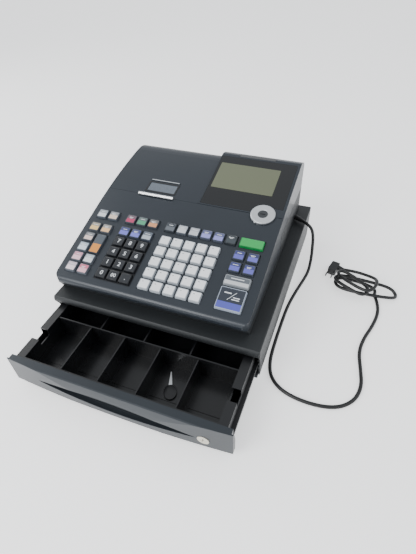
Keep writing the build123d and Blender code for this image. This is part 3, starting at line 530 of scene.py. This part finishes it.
# ---------------------------------------------------------------- number pad surround
# A matt black plate sunk in the panel round the twelve number keys, one opening to a key.
PAD_BAR = 0.0010
PAD_H = 0.0008
PAD_SINK = 0.00075
deselect()
bpy.ops.mesh.primitive_grid_add(x_subdivisions=3, y_subdivisions=4, size=1)
pad = bpy.context.object
pad.name = "number_pad_surround"
bpy.ops.object.mode_set(mode="EDIT")
bpy.ops.transform.resize(value=(3 * PITCH, 4 * PITCH, 1))
bpy.ops.mesh.inset(thickness=PAD_BAR, use_individual=True)
bpy.ops.mesh.delete(type="FACE")
bpy.ops.mesh.select_all(action="SELECT")
bpy.ops.mesh.extrude_region_move(TRANSFORM_OT_translate={"value": (0, 0, PAD_H)})
bpy.ops.mesh.select_all(action="SELECT")
bpy.ops.mesh.normals_make_consistent(inside=False)
bpy.ops.object.mode_set(mode="OBJECT")
u, v = key_at(N2, 1.5, NUMERIC_SHIFT)
pad.data.transform(panel_frame @ Matrix.Translation((u, v, -PAD_SINK)))
pad.data.materials.append(finish("pad_black", linear("141619"), 0.42, 1300, 0.06))
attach(pad, "register_body")

# ---------------------------------------------------------------- screen
# One polished acrylic lens, black round the window, over a reflective liquid crystal panel.
DISPLAY_TILT = math.radians(13.5)
DISPLAY_AT = (0, NOSE_Y + 0.245, 0.1883)
SCREEN_SIZE = (0.130, 0.0755, 0.0004)
SCREEN_AT = (0.0763, 0.0875, 0.00005)
display_frame = Matrix.Translation(DISPLAY_AT) @ Matrix.Rotation(DISPLAY_TILT, 4, "X")
lens_gloss = finish("lens_gloss", linear("121416"), 0.22, 900, 0.0, spread=0.05)
dress(lens_gloss, "display_lens")
dress(finish("popup_gloss", linear("17191b"), 0.22, 900, 0.01, coat=0.8), "customer_display")
deselect()
bpy.ops.mesh.primitive_cube_add(size=1, scale=SCREEN_SIZE, location=SCREEN_AT)
screen = bpy.context.object
screen.name = "screen_window"
bpy.ops.object.transform_apply(location=True, rotation=True, scale=True)
bpy.ops.object.mode_set(mode="EDIT")
pick_edges(screen, lambda e: abs(e.verts[0].co.z - e.verts[1].co.z) > SCREEN_SIZE[2] / 2)
bpy.ops.mesh.bevel(offset=0.0015, segments=3)
pick_faces(screen, lambda f: f.normal.z > 0.99)
bpy.ops.mesh.inset(thickness=0.0006)
bpy.ops.object.mode_set(mode="OBJECT")
screen.data.transform(display_frame)
screen.data.materials.append(finish("screen_film", linear("646953"), 0.35, 2500, 0.01, spread=0.03))
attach(screen, "register_body")

# ---------------------------------------------------------------- mode switch
# A spun aluminium dial with a pointer, turning on the slope beside the screen, and the
# dark key plug pressed in its middle.
DIAL_BORE = 0.0100
DIAL_AT = (0.1375, -0.0025, 0.0005)
deselect()
bpy.ops.mesh.primitive_circle_add(vertices=72, radius=DIAL_BORE, fill_type="NOTHING")
dial = bpy.context.object
dial.name = "mode_dial"
bpy.ops.object.mode_set(mode="EDIT")
bpy.ops.mesh.select_mode(type="EDGE")
bpy.ops.mesh.select_all(action="SELECT")
# The dial's section outwards from its bore: radius and height of each corner.
rings = ((0.0102, 0.0022), (0.0108, 0.0028), (0.0185, 0.0031), (0.0205, 0.0036), (0.0228, 0.0032),
         (0.0239, 0.0022), (0.0240, 0.0005))
reach, rise = DIAL_BORE, 0.0
for radius, height in rings:
    bpy.ops.mesh.extrude_region_move(TRANSFORM_OT_translate={"value": (0, 0, height - rise)})
    bpy.ops.transform.resize(value=(radius / reach, radius / reach, 1), center_override=(0, 0, 0))
    reach, rise = radius, height
bpy.ops.mesh.select_all(action="SELECT")
bpy.ops.mesh.normals_make_consistent(inside=False)
bpy.ops.object.mode_set(mode="OBJECT")
bpy.ops.object.shade_smooth_by_angle(angle=math.radians(35))
dial.data.transform(display_frame @ Matrix.Translation(DIAL_AT))
spun = finish("spun_aluminium", linear("d0d3d5"), 0.34, 1400, 0.05, metallic=0.7)
dial.data.materials.append(spun)
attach(dial, "mode_switch")
dress(spun, "mode_ring")
dress(finish("plug_gloss", linear("23272b"), 0.2, 900, 0.01, coat=0.6), "mode_key_plug")

# ---------------------------------------------------------------- receipt printer
# Smoked window over the paper, a bright steel tear-off blade and a grey finger bar.
smoked = finish("smoked_window", linear("59626c"), 0.2, 300, 0.01, spread=0.2, coat=0.8)
dress(smoked, "printer_window")
window_dark = finish("window_dark", linear("17191c"), 0.3, 900, 0.02)
bar_silver = finish("bar_silver", linear("c3c8cc"), 0.3, 700, 0.02, metallic=0.6)


def lid_frame(x, y):
    """The printer cover's surface at a point: a matrix with Z along its normal."""
    hit, place, normal, index = nodes["printer_cover"].ray_cast((x, y, 0.5), (0, 0, -1))
    return Matrix.Translation(place) @ normal.to_track_quat("Z", "Y").to_matrix().to_4x4()


WINDOW_MID = (-0.0880, NOSE_Y + 0.2675)
WINDOW_SIZE = (0.063, 0.025)
TRIM_OUT = 0.006
TRIM_WIDTH = 0.0034
TRIM_H = 0.0009
TRIM_SINK = 0.0004
BAR_SIZE = (0.0640, 0.0021, 0.0008)
BAR_MID = (-0.0885, NOSE_Y + 0.287)
deselect()
bpy.ops.mesh.primitive_plane_add(size=1)
window_trim = bpy.context.object
window_trim.name = "window_trim"
bpy.ops.object.mode_set(mode="EDIT")
bpy.ops.transform.resize(value=(WINDOW_SIZE[0] + TRIM_OUT, WINDOW_SIZE[1] + TRIM_OUT, 1))
bpy.ops.mesh.inset(thickness=TRIM_WIDTH)
bpy.ops.mesh.delete(type="FACE")
bpy.ops.mesh.select_all(action="SELECT")
bpy.ops.mesh.extrude_region_move(TRANSFORM_OT_translate={"value": (0, 0, TRIM_H)})
bpy.ops.mesh.select_all(action="SELECT")
bpy.ops.mesh.normals_make_consistent(inside=False)
bpy.ops.object.mode_set(mode="OBJECT")
# The cover is open under the window, so its slope and height are read just to the left of it.
slope = lid_frame(WINDOW_MID[0] - 0.045, WINDOW_MID[1]).to_3x3()
height = lid_frame(WINDOW_MID[0] - 0.040, WINDOW_MID[1]).translation.z
window_trim.data.transform(Matrix.Translation((*WINDOW_MID, height - TRIM_SINK)) @ slope.to_4x4())
window_trim.data.materials.append(window_dark)
deselect()
bpy.ops.mesh.primitive_cube_add(size=1, scale=BAR_SIZE)
finger_bar = bpy.context.object
finger_bar.name = "finger_bar_trim"
bpy.ops.object.transform_apply(location=True, rotation=True, scale=True)
bpy.ops.object.mode_set(mode="EDIT")
bpy.ops.mesh.select_all(action="SELECT")
bpy.ops.mesh.bevel(offset=0.0002, segments=2)
bpy.ops.object.mode_set(mode="OBJECT")
finger_bar.data.transform(lid_frame(*BAR_MID))
finger_bar.data.materials.append(bar_silver)
for piece in (window_trim, finger_bar):
    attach(piece, "printer_lid")
dress(finish("blade_steel", linear("f2f4f5"), 0.25, 600, 0.02, metallic=0.6), "cutter_bar")
dress(finish("platen_rubber", linear("1d1e20"), 0.7, 900, 0.1), "platen_roller")
dress(finish("receipt_paper", linear("f0efea"), 0.8, 1200, 0.05, spread=0.03), "paper_roll")

# ---------------------------------------------------------------- pieces inside the body
# Green circuit boards, a grey silicone switch mat under the keys, a varnished transformer core
# and the liquid crystal panel behind the lens.
dress(finish("board_resist", linear("1d5a34"), 0.4, 300, 0.05), "keyboard_board", "main_board")
dress(finish("switch_silicone", linear("8a8d90"), 0.6, 900, 0.02), "contact_mat")
dress(finish("core_varnish", linear("4a4d50"), 0.5, 700, 0.1), "power_transformer")
dress(finish("panel_glass", linear("6c705f"), 0.3, 900, 0.0), "display_panel")

# ---------------------------------------------------------------- cash drawer
# Moulded metallic-grey front bowed across its width, black tray and partitions, black pan.
fascia_paint = finish("fascia_paint", linear("2c3136"), 0.36, 1500, 0.07, metallic=0.4, coat=0.1)
dress(fascia_paint, "drawer_fascia")
tray_black = finish("tray_black", linear("111214"), 0.28, 1200, 0.07)
dress(tray_black, "till_tray", "till_dividers")
dress(finish("pan_black", linear("18191b"), 0.5, 1000, 0.1), "drawer_pan")
lock_nickel = finish("lock_nickel", linear("cfcabb"), 0.3, 500, 0.03, metallic=0.6)
dress(lock_nickel, "drawer_lock_body", "drawer_lock_plug")

TRAY_X = 0.178
TRAY_FLOOR = 0.0225
CUP_BACK = NOSE_Y - 0.0312
CUP_FRONT = NOSE_Y - 0.1287
CUPS = 5
CUP_W = 2 * TRAY_X / CUPS
RIBS = 13
RIB_INSET = 0.005
RIB_MIDDLE_Z = 0.046
RIB_SIZE = (0.0009, 0.0008, 0.036)
FLOOR_RIB_SIZE = (CUP_W - 0.008, 0.0011, 0.0012)


def rib_row(name, x, y, z, count, step, size):
    """A row of equal moulded ribs, made by an array of one thin block."""
    deselect()
    bpy.ops.mesh.primitive_cube_add(size=1, scale=size)
    piece = bpy.context.object
    piece.name = name
    bpy.ops.object.transform_apply(location=True, rotation=True, scale=True)
    row = piece.modifiers.new("row", "ARRAY")
    row.use_relative_offset = False
    row.use_constant_offset = True
    row.constant_offset_displace = (step, 0, 0)
    row.count = count
    bpy.ops.object.modifier_apply(modifier="row")
    piece.data.transform(Matrix.Translation((x, y, z)))
    piece.data.materials.append(tray_black)
    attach(piece, "drawer")


# Upright ribs on the cross wall behind each coin cup, and a low rib across each cup's floor
# that lets coins tip up.
rib_step = (CUP_W - 2 * RIB_INSET) / (RIBS - 1)
for cup in range(CUPS):
    middle = (cup - 2) * CUP_W
    rib_row(f"cup_wall_ribs_{cup + 1}", middle - CUP_W / 2 + RIB_INSET, CUP_BACK - 0.0001,
            RIB_MIDDLE_Z, RIBS, rib_step, RIB_SIZE)
    rib_row(f"cup_floor_rib_{cup + 1}", middle, CUP_FRONT + 0.030, TRAY_FLOOR + 0.0004,
            1, 0.0, FLOOR_RIB_SIZE)

# ---------------------------------------------------------------- loose drawer key
# The drawer lock's spare key, lying in the fourth coin cup: a steel blade in a black bow.
BOW_RADIUS = 0.0115
BOW_H = 0.0030
BLADE_SIZE = (0.0070, 0.030, 0.0016)
BLADE_MIDDLE = 0.0260
KEY_AT = (0.0730, -0.2330, TRAY_FLOOR + 0.0019)
KEY_TURN = math.radians(23)
deselect()
bpy.ops.mesh.primitive_cylinder_add(vertices=32, radius=BOW_RADIUS, depth=BOW_H)
bow = bpy.context.object
bow.name = "loose_key_bow"
bpy.ops.object.mode_set(mode="EDIT")
bpy.ops.transform.resize(value=(1, 1.25, 1), center_override=(0, 0, 0))
pick_edges(bow, lambda e: e.calc_length() < 0.004 and abs(e.verts[0].co.z - e.verts[1].co.z) < 1e-6)
bpy.ops.mesh.bevel(offset=0.0008, segments=2)
bpy.ops.object.mode_set(mode="OBJECT")
bpy.ops.object.shade_smooth_by_angle(angle=math.radians(40))
deselect()
bpy.ops.mesh.primitive_cube_add(size=1, scale=BLADE_SIZE, location=(0, BLADE_MIDDLE, 0))
blade = bpy.context.object
blade.name = "loose_key_blade"
bpy.ops.object.transform_apply(location=True, rotation=True, scale=True)
bpy.ops.object.mode_set(mode="EDIT")
pick_faces(blade, lambda f: f.normal.y > 0.9)
bpy.ops.transform.resize(value=(0.3, 1, 1), center_override=(0.0015, BLADE_MIDDLE + 0.015, 0))
pick_edges(blade, lambda e: True)
bpy.ops.mesh.bevel(offset=0.0003, segments=2)
bpy.ops.object.mode_set(mode="OBJECT")
lying = Matrix.Translation(KEY_AT) @ Matrix.Rotation(KEY_TURN, 4, "Z")
for piece, skin in ((bow, tray_black), (blade, spun)):
    piece.data.transform(lying)
    piece.data.materials.append(skin)
    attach(piece, "drawer")
